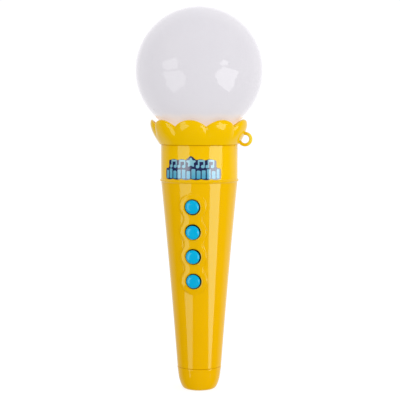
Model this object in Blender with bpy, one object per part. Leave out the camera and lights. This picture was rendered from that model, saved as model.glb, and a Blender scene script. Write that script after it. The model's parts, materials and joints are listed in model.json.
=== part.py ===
"""Toy microphone: a light-up globe on a two-shell handle with four song buttons.

The foot stands at the origin, +Z runs up through the globe, the buttons face -Y and the eyelet is at +X.
"""

import math

import bmesh
import bpy
from mathutils import Matrix, Vector

MM = 0.001

# Driving dimensions, in millimetres.
GLOBE_RADIUS = 35.0
GLOBE_CENTRE = 175.0
GLOBE_WALL = 1.2
SPIGOT_RADIUS = 15.5
CAP_SEAM = 12.4
CAP_RADIUS = 12.15
BEAD_HEIGHT = 115.4
BEAD_PROUD = 0.6
NECK_RADIUS = 21.0
NECK_TOP = 134.7
HANDLE_SAG = 0.28
WALL = 1.5
GAP = 0.3
COLLAR_BOTTOM = 135.0
PETALS = 9
PETAL_TURN = -1.0
PETAL_PEAK = 148.4
PETAL_NOTCH = 144.2
EYELET_CENTRE = (25.3, 137.8)
EYELET_RADIUS = 4.0
EYELET_HOLE = 2.2
BUTTON_PITCH = 13.5
BUTTON_RADIUS = 3.75
BUTTON_HOLE = 4.3
PANEL_MIDDLE = 81.8
PANEL_PROUD = 0.8
PANEL_LOBE = 7.3
PANEL_WAIST = 5.1
COVER_HALF_WIDTH = 10.9
COVER_BOTTOM = 21.8
COVER_SHOULDER = 73.0
COVER_TOP = 80.5
CELL_RADIUS = 5.25
CELL_SPREAD = 5.4
CELL_DEPTH = 1.8
SPEAKER_HEIGHT = 101.0
SPEAKER_FACE = 11.0
ROUND_SEGMENTS = 40

YELLOW = (0.86, 0.52, 0.005)
BLUE = (0.005, 0.41, 0.74)


def handle_radius(z):
    """The handle's outer radius at a height: a cone that sags a little inwards."""
    t = (z - CAP_SEAM) / (BEAD_HEIGHT - CAP_SEAM)
    return CAP_RADIUS - 0.05 + (NECK_RADIUS + 0.05 - CAP_RADIUS) * t - HANDLE_SAG * 4 * t * (1 - t)


# Materials and mesh helpers.


def material(name, colour, roughness=0.35, metallic=0.0):
    if name in bpy.data.materials:
        return bpy.data.materials[name]
    made = bpy.data.materials.new(name)
    made.use_nodes = True
    shader = made.node_tree.nodes["Principled BSDF"]
    shader.inputs["Base Color"].default_value = (*colour, 1)
    shader.inputs["Roughness"].default_value = roughness
    shader.inputs["Metallic"].default_value = metallic
    return made


def as_object(name, mesh, finish=None):
    made = bpy.data.objects.new(name, mesh)
    bpy.context.scene.collection.objects.link(made)
    if finish:
        mesh.materials.append(finish)
    return made


def finished(name, bm, finish=None, smooth=True):
    """Turns a bmesh in millimetres into an object in metres, with its faces pointing out."""
    bmesh.ops.recalc_face_normals(bm, faces=bm.faces)
    bmesh.ops.scale(bm, vec=(MM, MM, MM), verts=bm.verts)
    mesh = bpy.data.meshes.new(name)
    bm.to_mesh(mesh)
    bm.free()
    if smooth:
        mesh.shade_smooth()
        mesh.set_sharp_from_angle(angle=math.radians(35))
    return as_object(name, mesh, finish)


def turned(name, section, finish=None, segments=ROUND_SEGMENTS):
    """A closed section of (radius, height) points, spun about Z."""
    bm = bmesh.new()
    points = [bm.verts.new((r, 0, z)) for r, z in section]
    edges = [bm.edges.new(pair) for pair in zip(points, points[1:] + points[:1])]
    on_axis = [e for e in edges if all(v.co.x == 0 for v in e.verts)]
    for edge in on_axis:
        bm.edges.remove(edge)
        edges.remove(edge)
    bmesh.ops.spin(
        bm,
        geom=points + edges,
        cent=(0, 0, 0),
        axis=(0, 0, 1),
        angle=2 * math.pi,
        steps=segments,
        use_merge=True,
    )
    bmesh.ops.remove_doubles(bm, verts=bm.verts, dist=0.001)
    return finished(name, bm, finish)


def prism(name, outline, low, high, finish=None):
    """An outline of (x, z) points, extruded along Y."""
    bm = bmesh.new()
    face = bm.faces.new([bm.verts.new((x, low, z)) for x, z in outline])
    grown = bmesh.ops.extrude_face_region(bm, geom=[face])
    moved = [v for v in grown["geom"] if isinstance(v, bmesh.types.BMVert)]
    bmesh.ops.translate(bm, vec=(0, high - low, 0), verts=moved)
    return finished(name, bm, finish)


def block(name, low, high, finish=None):
    bm = bmesh.new()
    bmesh.ops.create_cube(bm, size=1)
    size = [b - a for a, b in zip(low, high)]
    middle = [(a + b) / 2 for a, b in zip(low, high)]
    bmesh.ops.scale(bm, vec=size, verts=bm.verts)
    bmesh.ops.translate(bm, vec=middle, verts=bm.verts)
    return finished(name, bm, finish)


def rod(name, radius, start, end, finish=None, sides=12):
    """A round bar between two points."""
    bm = bmesh.new()
    run = Vector(end) - Vector(start)
    turn = run.to_track_quat("Z", "Y").to_matrix().to_4x4()
    place = Matrix.Translation((Vector(start) + Vector(end)) / 2) @ turn
    bmesh.ops.create_cone(
        bm, cap_ends=True, segments=sides, radius1=radius, radius2=radius, depth=run.length, matrix=place
    )
    return finished(name, bm, finish)


def laid_along_y(piece):
    """Turns a piece that was spun about Z so that its +Z runs along +Y."""
    piece.data.transform(Matrix.Rotation(math.radians(-90), 4, "X"))
    return piece


def moved(piece, x=0.0, y=0.0, z=0.0):
    piece.data.transform(Matrix.Translation((x * MM, y * MM, z * MM)))
    return piece


def combine(piece, tool, operation="DIFFERENCE"):
    """Cuts, joins or intersects a piece with a tool, which is then only a guide."""
    step = piece.modifiers.new(tool.name, "BOOLEAN")
    step.operation = operation
    step.object = tool
    tool.hide_render = True
    tool.display_type = "WIRE"
    return piece


def arc(centre, radius, start, end, steps):
    """Points (r, z) on a circle from one angle to another, in degrees from the r axis."""
    angles = [math.radians(start + (end - start) * i / steps) for i in range(steps + 1)]
    return [(centre[0] + radius * math.cos(a), centre[1] + radius * math.sin(a)) for a in angles]


# The globe: a blow-moulded ball with an open spigot and a snap bead.


def make_globe():
    inner = GLOBE_RADIUS - GLOBE_WALL
    bore = SPIGOT_RADIUS - GLOBE_WALL
    outer_end = -math.degrees(math.acos(SPIGOT_RADIUS / GLOBE_RADIUS))
    inner_end = -math.degrees(math.acos(bore / inner))
    centre = (0, GLOBE_CENTRE)
    section = [(0, GLOBE_CENTRE + GLOBE_RADIUS)] + arc(centre, GLOBE_RADIUS, 90, outer_end, 12)[1:]
    section += [(SPIGOT_RADIUS, 141.0), (16.4, 140.6), (16.4, 139.8), (SPIGOT_RADIUS, 139.2)]
    section += [(SPIGOT_RADIUS, 138.0), (bore, 138.0)]
    section += arc(centre, inner, inner_end, 90, 9)[:-1] + [(0, GLOBE_CENTRE + inner)]
    return turned("globe", section, material("milky_plastic", (0.8, 0.78, 0.8), 0.3), segments=36)


# The collar: a scalloped cup that the globe snaps into, with the eyelet moulded on.


def make_collar(finish):
    sides = PETALS * 6
    bm = bmesh.new()
    rings = []
    for i in range(sides):
        around = i / sides
        phase = (around * PETALS) % 1 - 0.5
        lobe = 1 - (2 * phase) ** 2
        top = PETAL_NOTCH + (PETAL_PEAK - PETAL_NOTCH) * lobe
        puff = 0.7 * lobe
        section = [
            (21.8, COLLAR_BOTTOM),
            (22.7, 136.8),
            (24.2, 139.0),
            (25.0 + 0.3 * puff, 140.8),
            (25.5 + 0.8 * puff, top - 3.4),
            (25.9 + puff, top - 1.4),
            (25.1 + puff, top),
            (24.1 + 0.6 * puff, top - 2.4),
            (22.4, 140.9),
            (18.6, 142.6),
            (15.8, 143.2),
            (15.8, 141.4),
            (17.0, 141.4),
            (17.0, 128.8),
            (19.1, 128.8),
            (19.1, 130.4),
            (18.1, 130.4),
            (18.1, COLLAR_BOTTOM),
        ]
        # The first ring is half a petal from the front, at a notch.
        angle = math.radians(-90 + PETAL_TURN) + 2 * math.pi * (around - 0.5 / PETALS)
        rings.append([bm.verts.new((r * math.cos(angle), r * math.sin(angle), z)) for r, z in section])
    for ring, following in zip(rings, rings[1:] + rings[:1]):
        for k in range(len(ring)):
            after = (k + 1) % len(ring)
            bm.faces.new((ring[k], following[k], following[after], ring[after]))
    collar = finished("petal_collar", bm, finish)
    return combine(collar, make_eyelet(), "UNION")


def make_eyelet():
    """A round ring in the plane of X and Z, cut off where it would enter the cup."""
    width = (EYELET_RADIUS - EYELET_HOLE) / 2
    bm = bmesh.new()
    circle = [
        bm.verts.new((EYELET_HOLE + width + width * math.cos(a), width * math.sin(a), 0))
        for a in (2 * math.pi * i / 8 for i in range(8))
    ]
    edges = [bm.edges.new(pair) for pair in zip(circle, circle[1:] + circle[:1])]
    bmesh.ops.spin(
        bm, geom=circle + edges, cent=(0, 0, 0), axis=(0, 1, 0), angle=2 * math.pi, steps=16, use_merge=True
    )
    bmesh.ops.remove_doubles(bm, verts=bm.verts, dist=0.001)
    ring = finished("eyelet_ring", bm)
    moved(ring, x=EYELET_CENTRE[0], z=EYELET_CENTRE[1])
    return ring


# The shells: one turned body, halved at Y = 0, each half hollowed by its own cavity.


def shell_body(name, finish=None):
    section = [(0, NECK_TOP), (NECK_RADIUS - 0.3, NECK_TOP), (NECK_RADIUS, NECK_TOP - 0.3)]
    section += [(NECK_RADIUS, BEAD_HEIGHT + 0.8)]
    bead_radius = NECK_RADIUS + BEAD_PROUD
    section += [(bead_radius, BEAD_HEIGHT + 0.35), (bead_radius, BEAD_HEIGHT - 0.35)]
    heights = [BEAD_HEIGHT - 0.8 - 20.2 * i for i in range(5)]
    section += [(handle_radius(z), z) for z in heights]
    foot = CAP_SEAM + GAP
    section += [(CAP_RADIUS, foot), (0, foot)]
    return turned(name, section, finish)


def cavity(name):
    """The space inside the shells, with the shelf and the ribs that hold the collar and the cap."""
    foot = CAP_SEAM + GAP
    section = [(0, NECK_TOP + 5), (18.4, NECK_TOP + 5), (18.4, 130.7), (19.5, 130.7), (19.5, 127.2)]
    section += [(13.5, 127.2), (13.5, 125.9), (19.5, 125.9), (19.5, 116.0)]
    heights = [113.0 - 19.4 * i for i in range(5)]
    section += [(handle_radius(z) - WALL, z) for z in heights]
    section += [(handle_radius(13.7) - WALL, 13.7), (9.6, 13.7), (9.6, foot - 5), (0, foot - 5)]
    return turned(name, section)


# Where each case screw stands: across, height, and the radius of its post in the back shell.
SCREW_PLACES = [
    (-13.2, 120.5, 3.4),
    (13.2, 120.5, 3.4),
    (-11.6, 83.6, 3.4),
    (11.6, 83.6, 3.4),
    (0.0, 17.9, 2.9),
]
COVER_SCREW_HEIGHT = 76.9
LEDGE_DEPTH = 12.6


def make_front_shell(finish, panel):
    shell = shell_body("front_shell", finish)
    combine(shell, block("front_half_cut", (-40, -GAP / 2, -10), (40, 40, 160)))

    # The wavy panel: a skin that stands proud, within an outline of four lobes.
    skin = turned(
        "panel_skin",
        [(0, 120)]
        + [(handle_radius(z) + PANEL_PROUD, z) for z in (120, 100, 80, 60, 40)]
        + [(0, 40)],
        segments=72,
    )
    combine(skin, prism("panel_outline", panel_outline(), -40, -6), "INTERSECT")
    combine(shell, skin, "UNION")

    inside = cavity("front_cavity")
    for i, (x, z, post) in enumerate(SCREW_PLACES):
        combine(inside, rod(f"front_post_{i}", post - 0.8, (x, -30, z), (x, -GAP / 2, z)))
    combine(inside, parented(rod("board_post", 2.0, (0, -6, 29.0), (0, 8.0, 29.0)), panel))
    combine(inside, parented(block("board_rest", (-6, -6, -33.6), (6, 9.5, -32.0)), panel))
    combine(shell, inside)

    for i, (x, z, _) in enumerate(SCREW_PLACES):
        combine(shell, rod(f"front_pilot_{i}", 1.3, (x, -7.5, z), (x, 5, z)))
    combine(shell, parented(rod("board_pilot", 1.2, (0, 1.8, 29.0), (0, 12, 29.0), sides=8), panel))
    for i, up in enumerate(button_heights()):
        hole = rod(f"button_hole_{i}", BUTTON_HOLE, (0, -4, up), (0, 4, up), sides=20)
        combine(shell, parented(hole, panel))
    return shell


def panel_outline():
    """Four round lobes, one about each button, joined by narrower waists."""
    middle = PANEL_MIDDLE
    reach = 1.5 * BUTTON_PITCH
    right = []
    steps = 6
    for i in range(1, 3 * steps):
        up = -reach + 2 * reach * i / (3 * steps)
        wave = math.cos(2 * math.pi * up / BUTTON_PITCH + math.pi)
        width = (PANEL_LOBE + PANEL_WAIST) / 2 + (PANEL_LOBE - PANEL_WAIST) / 2 * wave
        right.append((width, middle + up))
    top = [(PANEL_LOBE * math.cos(a), middle + reach + PANEL_LOBE * math.sin(a)) for a in fan(0, 180, 10)]
    left = [(-x, z) for x, z in reversed(right)]
    low = middle - reach
    bottom = [(PANEL_LOBE * math.cos(a), low + PANEL_LOBE * math.sin(a)) for a in fan(180, 360, 10)]
    return right + top + left + bottom


def fan(start, end, steps):
    return [math.radians(start + (end - start) * i / steps) for i in range(steps + 1)]


def make_back_shell(finish):
    shell = shell_body("back_shell", finish)
    combine(shell, block("back_half_cut", (-40, -40, -10), (40, GAP / 2, 160)))
    inside = cavity("back_cavity")
    for i, (x, z, post) in enumerate(SCREW_PLACES):
        combine(inside, rod(f"back_post_{i}", post, (x, GAP / 2, z), (x, 30, z)))
    holder = rod("speaker_holder", 15.2, (0, 8.5, SPEAKER_HEIGHT), (0, 30, SPEAKER_HEIGHT), sides=24)
    combine(holder, rod("speaker_room", 13.8, (0, 0, SPEAKER_HEIGHT), (0, 35, SPEAKER_HEIGHT), sides=24))
    combine(inside, holder)
    combine(inside, block("cover_ledge", (-4.2, 8.0, 73.6), (4.2, 30, 82.0)))
    combine(shell, inside)

    # The battery opening, and the recess that the cover's screw tab sits in.
    side = COVER_HALF_WIDTH + GAP
    low = COVER_BOTTOM - GAP
    shoulder = COVER_SHOULDER + GAP
    bay = [(-side, low), (side, low), (side, shoulder), (-side, shoulder)]
    combine(shell, prism("bay_cut", bay, 2.5, 40))
    combine(shell, block("tab_cut", (-4.8, LEDGE_DEPTH, COVER_SHOULDER - 1), (4.8, 40, COVER_TOP + GAP)))
    combine(shell, rod("tab_pilot", 1.3, (0, 9.0, COVER_SCREW_HEIGHT), (0, 20, COVER_SCREW_HEIGHT)))

    for i, (x, z, _) in enumerate(SCREW_PLACES):
        combine(shell, rod(f"back_through_{i}", 1.3, (x, -2, z), (x, 6, z)))
        combine(shell, rod(f"back_recess_{i}", 2.45, (x, 3.5, z), (x, 40, z)))
    combine(shell, grille_cutter())
    return shell


def grille_cutter():
    """Sound holes in three rings, as separate bars in one tool."""
    bm = bmesh.new()
    places = [(0.0, 0.0)]
    for ring, count in ((3.6, 6), (7.2, 12)):
        places += [
            (ring * math.cos(2 * math.pi * i / count), ring * math.sin(2 * math.pi * i / count))
            for i in range(count)
        ]
    for x, up in places:
        turn = Matrix.Rotation(math.radians(90), 4, "X")
        place = Matrix.Translation((x, 24, SPEAKER_HEIGHT + up)) @ turn
        bmesh.ops.create_cone(bm, cap_ends=True, segments=6, radius1=1.0, radius2=1.0, depth=22, matrix=place)
    return finished("grille_cut", bm)


def make_cover(finish):
    """The battery cover: the piece of the back's skin inside the opening, with a tab for its screw."""
    cover = shell_body("battery_cover", finish)
    w = COVER_HALF_WIDTH
    outline = [(-w, COVER_BOTTOM), (w, COVER_BOTTOM), (w, COVER_SHOULDER), (4.5, COVER_SHOULDER)]
    outline += [(4.5, COVER_TOP), (-4.5, COVER_TOP), (-4.5, COVER_SHOULDER), (-w, COVER_SHOULDER)]
    combine(cover, prism("cover_outline", outline, 2.9, 40), "INTERSECT")
    inside = cavity("cover_cavity")
    pad_low = LEDGE_DEPTH + GAP
    combine(inside, rod("cover_pad", 3.6, (0, pad_low, COVER_SCREW_HEIGHT), (0, 40, COVER_SCREW_HEIGHT)))
    combine(cover, inside)
    combine(cover, rod("cover_through", 1.3, (0, 5, COVER_SCREW_HEIGHT), (0, 30, COVER_SCREW_HEIGHT)))
    combine(cover, rod("cover_recess", 2.5, (0, 14.2, COVER_SCREW_HEIGHT), (0, 30, COVER_SCREW_HEIGHT)))
    return cover


def make_end_cap(finish):
    section = [(8.2, 14.7), (10.2, 14.7), (10.2, 14.0), (9.3, 14.0), (9.3, CAP_SEAM)]
    section += [(CAP_RADIUS - 0.25, CAP_SEAM), (CAP_RADIUS, CAP_SEAM - 0.3)]
    section += [(11.85, 9.9), (11.55, 7.7), (11.2, 5.5), (10.55, 3.3), (9.6, 1.2)]
    section += [(8.5, 0), (0, 0), (0, 2.0), (7.4, 2.0), (8.2, 3.4)]
    return turned("end_cap", section, finish, segments=30)


# The buttons, their domes and the board lie square to the handle's sloping front.


def button_heights():
    return [BUTTON_PITCH * (1.5 - i) for i in range(4)]


def make_panel():
    """An empty on the handle's front line: its +Y runs inwards, square to it, and its +Z up the slope."""
    low, high = PANEL_MIDDLE - 20, PANEL_MIDDLE + 20
    slope = math.atan2(handle_radius(high) - handle_radius(low), high - low)
    panel = bpy.data.objects.new("panel", None)
    bpy.context.scene.collection.objects.link(panel)
    panel.location = (0, -handle_radius(PANEL_MIDDLE) * MM, PANEL_MIDDLE * MM)
    panel.rotation_euler = (slope, 0, 0)
    return panel


def parented(piece, parent):
    piece.parent = parent
    return piece


BUTTON_SHIFTS = [(0.0, 0.15), (0.0, -0.15), (-0.15, 0.0), (-0.12, 0.1)]


def make_buttons(panel):
    finish = material("blue_plastic", BLUE, 0.25)
    rubber = material("clear_rubber", (0.75, 0.75, 0.72), 0.6)
    r = BUTTON_RADIUS
    dome = [(0, 2.25), (1.9, 2.23), (2.6, 2.12), (3.1, 1.92), (3.5, 1.6), (r, 1.15)]
    section = dome + [(r, -2.75), (5.1, -2.75), (5.1, -3.5), (2.6, -3.5), (2.6, -5.0), (0, -5.0)]
    bell = [(0, -5.3), (2.1, -5.3), (2.3, -5.9), (3.0, -7.2), (3.7, -7.4), (3.7, -8.0), (2.9, -8.0)]
    bell += [(2.3, -7.3), (1.8, -6.3), (0, -6.1)]
    for i, (up, shift) in enumerate(zip(button_heights(), BUTTON_SHIFTS)):
        button = turned(f"button_{i + 1}", section, finish, segments=18)
        contact = turned(f"rubber_dome_{i + 1}", bell, rubber, segments=12)
        for piece in (button, contact):
            piece.data.transform(Matrix.Rotation(math.radians(90), 4, "X"))
            piece.parent = panel
            piece.location = (0, 0, up * MM)
        button.location = (shift[0] * MM, 0, (up + shift[1]) * MM)


def make_board(panel):
    green = material("circuit_board", (0.03, 0.2, 0.08), 0.5)
    board = block("main_board", (-8.3, 8.3, -31.7), (8.3, 9.5, 31.7), green)
    combine(board, parented(rod("board_hole", 1.3, (0, 5, 29.0), (0, 12, 29.0)), panel))
    parented(board, panel)
    blob = [(0, 1.8), (1.8, 1.65), (3.4, 1.2), (4.6, 0.5), (4.9, 0), (0, 0)]
    resin = material("black_resin", (0.02, 0.02, 0.02), 0.35)
    chip = laid_along_y(turned("sound_chip", blob, resin, segments=16))
    moved(chip, y=9.8, z=11.0)
    parented(chip, panel)
    screw = make_screw("board_screw", 1.8, 0.9, 5.2)
    moved(screw, y=9.8, z=29.0)
    parented(screw, panel)


def make_screw(name, head, shank, length, head_height=1.3):
    """A pan-head screw along Y: the head's underside at 0, the shank towards -Y, a slot across the head."""
    section = [(0, head_height), (head * 0.7, head_height), (head, head_height * 0.45), (head, 0)]
    section += [(shank, 0), (shank, -length + 0.8), (shank * 0.4, -length), (0, -length)]
    steel = material("zinc_steel", (0.55, 0.55, 0.56), 0.35, 1.0)
    screw = laid_along_y(turned(name, section, steel, segments=12))
    screw.name = name
    return screw


def make_case_screws():
    for i, (x, z, _) in enumerate(SCREW_PLACES):
        moved(make_screw(f"case_screw_{i + 1}", 2.1, 1.0, 9.5), x=x, y=3.8, z=z)
    cover_screw = make_screw("battery_cover_screw", 2.1, 1.0, 5.0)
    moved(cover_screw, y=14.5, z=COVER_SCREW_HEIGHT)


# The badge: a thin scalloped sticker that follows the neck.


BADGE_BASE = 116.6
BADGE_STEP = 122.6
BADGE_TOP = 127.5
BADGE_PEAK = 129.1
BADGE_LOWER = 15.2
BADGE_UPPER = 12.7
BADGE_SHIFT = -0.6


def badge_outline():
    """Two rows, the lower one wider, with scallops along the base and the top and a peak in the middle."""
    base = []
    for i in range(37):
        across = BADGE_LOWER * (i / 18 - 1)
        base.append((across, BADGE_BASE + 0.5 - 0.5 * abs(math.sin(math.pi * i / 6))))
    flank = [(BADGE_LOWER + 0.2, BADGE_BASE + 2.0), (BADGE_LOWER + 0.2, BADGE_STEP - 1.4)]
    flank += [(BADGE_LOWER - 0.4, BADGE_STEP - 0.4), (BADGE_UPPER + 0.7, BADGE_STEP)]
    flank += [(BADGE_UPPER + 0.1, BADGE_STEP + 0.8), (BADGE_UPPER + 0.1, BADGE_TOP - 1.3)]
    top = []
    for i in range(37):
        across = (BADGE_UPPER - 0.6) * (1 - i / 18)
        wave = BADGE_TOP - 0.5 + 0.5 * abs(math.cos(math.pi * (i - 18) / 6))
        top.append((across, max(wave, BADGE_PEAK - max(0, abs(across) - 0.6) * 0.9)))
    mirrored = [(-x, z) for x, z in reversed(flank)]
    return [(x + BADGE_SHIFT, z) for x, z in base + flank + top + mirrored]


def make_badge():
    inner, outer = NECK_RADIUS + GAP, NECK_RADIUS + GAP + 0.3
    ring = [(inner, 131), (outer, 131), (outer, 116.2), (inner, 116.2)]
    sticker = material("printed_sticker", (0.1, 0.25, 0.5), 0.3)
    badge = turned("badge", list(reversed(ring)), sticker, segments=60)
    return combine(badge, prism("badge_outline", badge_outline(), -40, -8), "INTERSECT")


# The light board under the globe's neck.


def make_lights():
    green = material("circuit_board", (0.03, 0.2, 0.08), 0.5)
    board = turned("led_board", [(0, 128.5), (17.3, 128.5), (17.3, 127.5), (0, 127.5)], green, segments=28)
    colours = {"led_red": (0.8, 0.1, 0.1), "led_green": (0.1, 0.7, 0.2), "led_blue": (0.1, 0.2, 0.8)}
    for i, (name, colour) in enumerate(colours.items()):
        angle = math.radians(90 + 120 * i)
        x, y = 6.5 * math.cos(angle), 6.5 * math.sin(angle)
        section = [(0, 137.5)] + arc((0, 135.0), 2.5, 70, 0, 3)
        section += [(2.5, 129.9), (2.9, 129.9), (2.9, 128.9), (0, 128.9)]
        led = moved(turned(name, section, material(name, colour, 0.15), segments=12), x=x, y=y)
        for side in (-1, 1):
            px = x + 1.27 * side
            pin = block(f"{name}_pin_{side}", (px - 0.25, y - 0.25, 127.3), (px + 0.25, y + 0.25, 129.4))
            combine(led, pin, "UNION")
            hole = block(f"{name}_hole_{side}", (px - 0.6, y - 0.6, 126), (px + 0.6, y + 0.6, 130))
            combine(board, hole)


# The speaker faces the grille in the back.


def make_speaker():
    steel = material("speaker_steel", (0.5, 0.5, 0.5), 0.4, 1.0)
    basket = [(11.6, 0), (13.5, 0), (13.5, -0.9), (11.4, -1.2)]
    basket += [(7.3, -4.4), (7.3, -5.4), (0, -5.4), (0, -4.6)]
    basket += [(6.4, -4.6), (11.0, -0.7)]
    frame = turned("speaker_frame", basket, steel, segments=24)
    cone = [(0, -1.3), (1.8, -1.6), (3.0, -2.5), (10.4, -0.2), (11.1, -0.2), (11.1, -0.45), (10.4, -0.5)]
    cone += [(3.0, -2.9), (0, -2.9)]
    paper = turned("speaker_cone", cone, material("black_paper", (0.03, 0.03, 0.03), 0.8), segments=24)
    magnet = turned(
        "speaker_magnet",
        [(0, -5.7), (6.0, -5.7), (6.0, -8.4), (0, -8.4)],
        material("magnet_nickel", (0.6, 0.6, 0.58), 0.3, 1.0),
        segments=24,
    )
    for piece in (frame, paper, magnet):
        moved(laid_along_y(piece), y=SPEAKER_FACE, z=SPEAKER_HEIGHT)


# The batteries in their tray.


def make_batteries():
    black = material("tray_plastic", (0.05, 0.05, 0.05), 0.5)
    steel = material("contact_nickel", (0.7, 0.68, 0.62), 0.3, 1.0)
    tray = block("battery_tray", (-9.4, -4.7, 21.1), (9.4, -3.9, 72.6), black)
    combine(tray, block("tray_foot", (-8.6, -4.7, 21.1), (8.6, 6.2, 22.0)), "UNION")
    combine(tray, block("tray_head", (-7.8, -4.7, 71.4), (7.8, 9.5, 72.6)), "UNION")
    combine(tray, block("tray_rib", (-0.4, -4.3, 23.2), (0.4, -1.0, 70.2)), "UNION")

    block("bridge_contact", (-8.2, -2.6, 22.3), (8.2, 6.0, 22.6), steel)
    for side, number in ((-1, 1), (1, 2)):
        near, far = sorted((side * 2.2, side * 9.2))
        plate = block(f"top_contact_{number}", (near, -2.4, 70.7), (far, 6.0, 71.1), steel)
        tab_near, tab_far = sorted((side * 8.4, side * 9.0))
        combine(plate, block(f"contact_tab_{number}", (tab_near, -1.0, 70.8), (tab_far, 1.0, 74.2)), "UNION")

    body, nub = 43.3, 1.2
    section = [(0, nub), (1.9, nub), (1.9, 0), (4.9, 0), (CELL_RADIUS, -0.3), (CELL_RADIUS, -body + 0.3)]
    section += [(4.9, -body), (0, -body)]
    label = material("cell_label", (0.08, 0.08, 0.1), 0.35)
    first = turned("cell_1", section, label, segments=24)
    moved(first, x=-CELL_SPREAD, y=CELL_DEPTH, z=69.2)
    second = turned("cell_2", section, label, segments=24)
    second.data.transform(Matrix.Rotation(math.radians(180), 4, "X"))
    moved(second, x=CELL_SPREAD, y=CELL_DEPTH, z=24.1)
    coil("cell_spring_1", -CELL_SPREAD, 23.25, 25.2, steel)
    coil("cell_spring_2", CELL_SPREAD, 70.05, 68.1, steel)


def coil(name, x, wide_end, narrow_end, finish):
    """A cone spring: wide at its contact plate, narrow at the cell."""
    turns, steps = 3, 8
    points = []
    for i in range(turns * steps + 1):
        t = i / (turns * steps)
        angle = 2 * math.pi * i / steps
        radius = 3.6 - 1.4 * t
        z = wide_end + (narrow_end - wide_end) * t
        points.append((x + radius * math.cos(angle), CELL_DEPTH + radius * math.sin(angle), z))
    return wire(name, points, 0.3, finish)


def wire(name, points, radius, finish):
    """A round wire through points in millimetres."""
    curve = bpy.data.curves.new(name, "CURVE")
    curve.dimensions = "3D"
    curve.bevel_depth = radius * MM
    curve.bevel_resolution = 0
    curve.use_fill_caps = True
    line = curve.splines.new("POLY")
    line.points.add(len(points) - 1)
    for point, place in zip(line.points, points):
        point.co = (*(c * MM for c in place), 1)
    return as_object(name, curve, finish)


def smooth_route(points, steps=2):
    """A Catmull-Rom curve through the route's own points."""
    ends = [Vector(points[0]) * 2 - Vector(points[1])] + [Vector(p) for p in points]
    ends += [Vector(points[-1]) * 2 - Vector(points[-2])]
    route = []
    for a, b, c, d in zip(ends, ends[1:], ends[2:], ends[3:]):
        for i in range(steps):
            t = i / steps
            bend = (2 * a - 5 * b + 4 * c - d) * t**2 + (3 * b - a - 3 * c + d) * t**3
            route.append(0.5 * (2 * b + (c - a) * t + bend))
    return route + [ends[-2]]


def make_leads():
    red = material("red_insulation", (0.6, 0.02, 0.02), 0.45)
    black = material("black_insulation", (0.02, 0.02, 0.02), 0.45)
    battery = [(8.7, 0, 74.9), (8.6, -0.6, 76.6), (7.8, -3.2, 78.6), (6.8, -5.8, 80.2), (6.6, -7.0, 81.0)]
    speaker = [(12.4, 9.0, 101), (12.2, 5.5, 101), (10.4, 0, 100), (7.8, -5.5, 98.4), (6.6, -8.6, 97.6)]
    light = [(3.0, -6.0, 126.9), (3.0, -6.3, 123), (3.3, -7.4, 118), (4.2, -8.6, 113), (4.6, -9.6, 109)]
    for kind, route in (("battery", battery), ("speaker", speaker), ("led", light)):
        for side, finish, number in ((-1, black, 1), (1, red, 2)):
            wire(f"{kind}_lead_{number}", smooth_route([(side * x, y, z) for x, y, z in route]), 0.45, finish)


def build():
    for old in list(bpy.data.objects):
        bpy.data.objects.remove(old)
    bpy.context.scene.unit_settings.scale_length = 1
    yellow = material("yellow_plastic", YELLOW, 0.22)
    panel = make_panel()
    make_globe()
    make_collar(yellow)
    make_front_shell(yellow, panel)
    make_back_shell(yellow)
    make_cover(yellow)
    make_end_cap(yellow)
    make_buttons(panel)
    make_board(panel)
    make_case_screws()
    make_badge()
    make_lights()
    make_speaker()
    make_batteries()
    make_leads()


build()
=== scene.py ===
import json
import math

import bmesh
import bpy
import numpy as np
from mathutils import Matrix, Vector


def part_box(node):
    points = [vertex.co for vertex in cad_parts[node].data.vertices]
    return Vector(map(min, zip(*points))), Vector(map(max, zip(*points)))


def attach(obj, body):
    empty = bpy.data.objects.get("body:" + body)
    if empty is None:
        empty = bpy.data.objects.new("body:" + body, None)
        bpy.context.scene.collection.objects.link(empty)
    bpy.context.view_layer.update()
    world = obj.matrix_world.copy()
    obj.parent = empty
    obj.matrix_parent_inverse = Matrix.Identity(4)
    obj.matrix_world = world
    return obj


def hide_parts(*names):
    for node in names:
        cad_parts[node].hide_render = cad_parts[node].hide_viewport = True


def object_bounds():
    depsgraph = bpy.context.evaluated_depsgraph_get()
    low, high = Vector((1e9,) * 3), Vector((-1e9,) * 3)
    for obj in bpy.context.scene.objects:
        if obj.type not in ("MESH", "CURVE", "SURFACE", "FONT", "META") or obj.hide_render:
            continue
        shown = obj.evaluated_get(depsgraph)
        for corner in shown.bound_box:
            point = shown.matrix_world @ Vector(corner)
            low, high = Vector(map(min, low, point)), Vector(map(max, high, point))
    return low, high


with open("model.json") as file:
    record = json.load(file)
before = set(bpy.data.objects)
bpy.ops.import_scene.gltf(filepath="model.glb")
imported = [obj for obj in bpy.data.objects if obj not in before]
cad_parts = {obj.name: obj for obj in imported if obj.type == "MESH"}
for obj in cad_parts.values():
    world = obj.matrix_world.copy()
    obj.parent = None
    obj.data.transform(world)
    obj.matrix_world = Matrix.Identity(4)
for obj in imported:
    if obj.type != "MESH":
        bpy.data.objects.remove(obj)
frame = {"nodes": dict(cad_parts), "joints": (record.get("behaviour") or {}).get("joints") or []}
cad_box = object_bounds()

# The studio: a seamless white table, an even tent of light all round, and two soft boxes of which only
# the mirror images count. Nothing here belongs to the toy.

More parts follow.
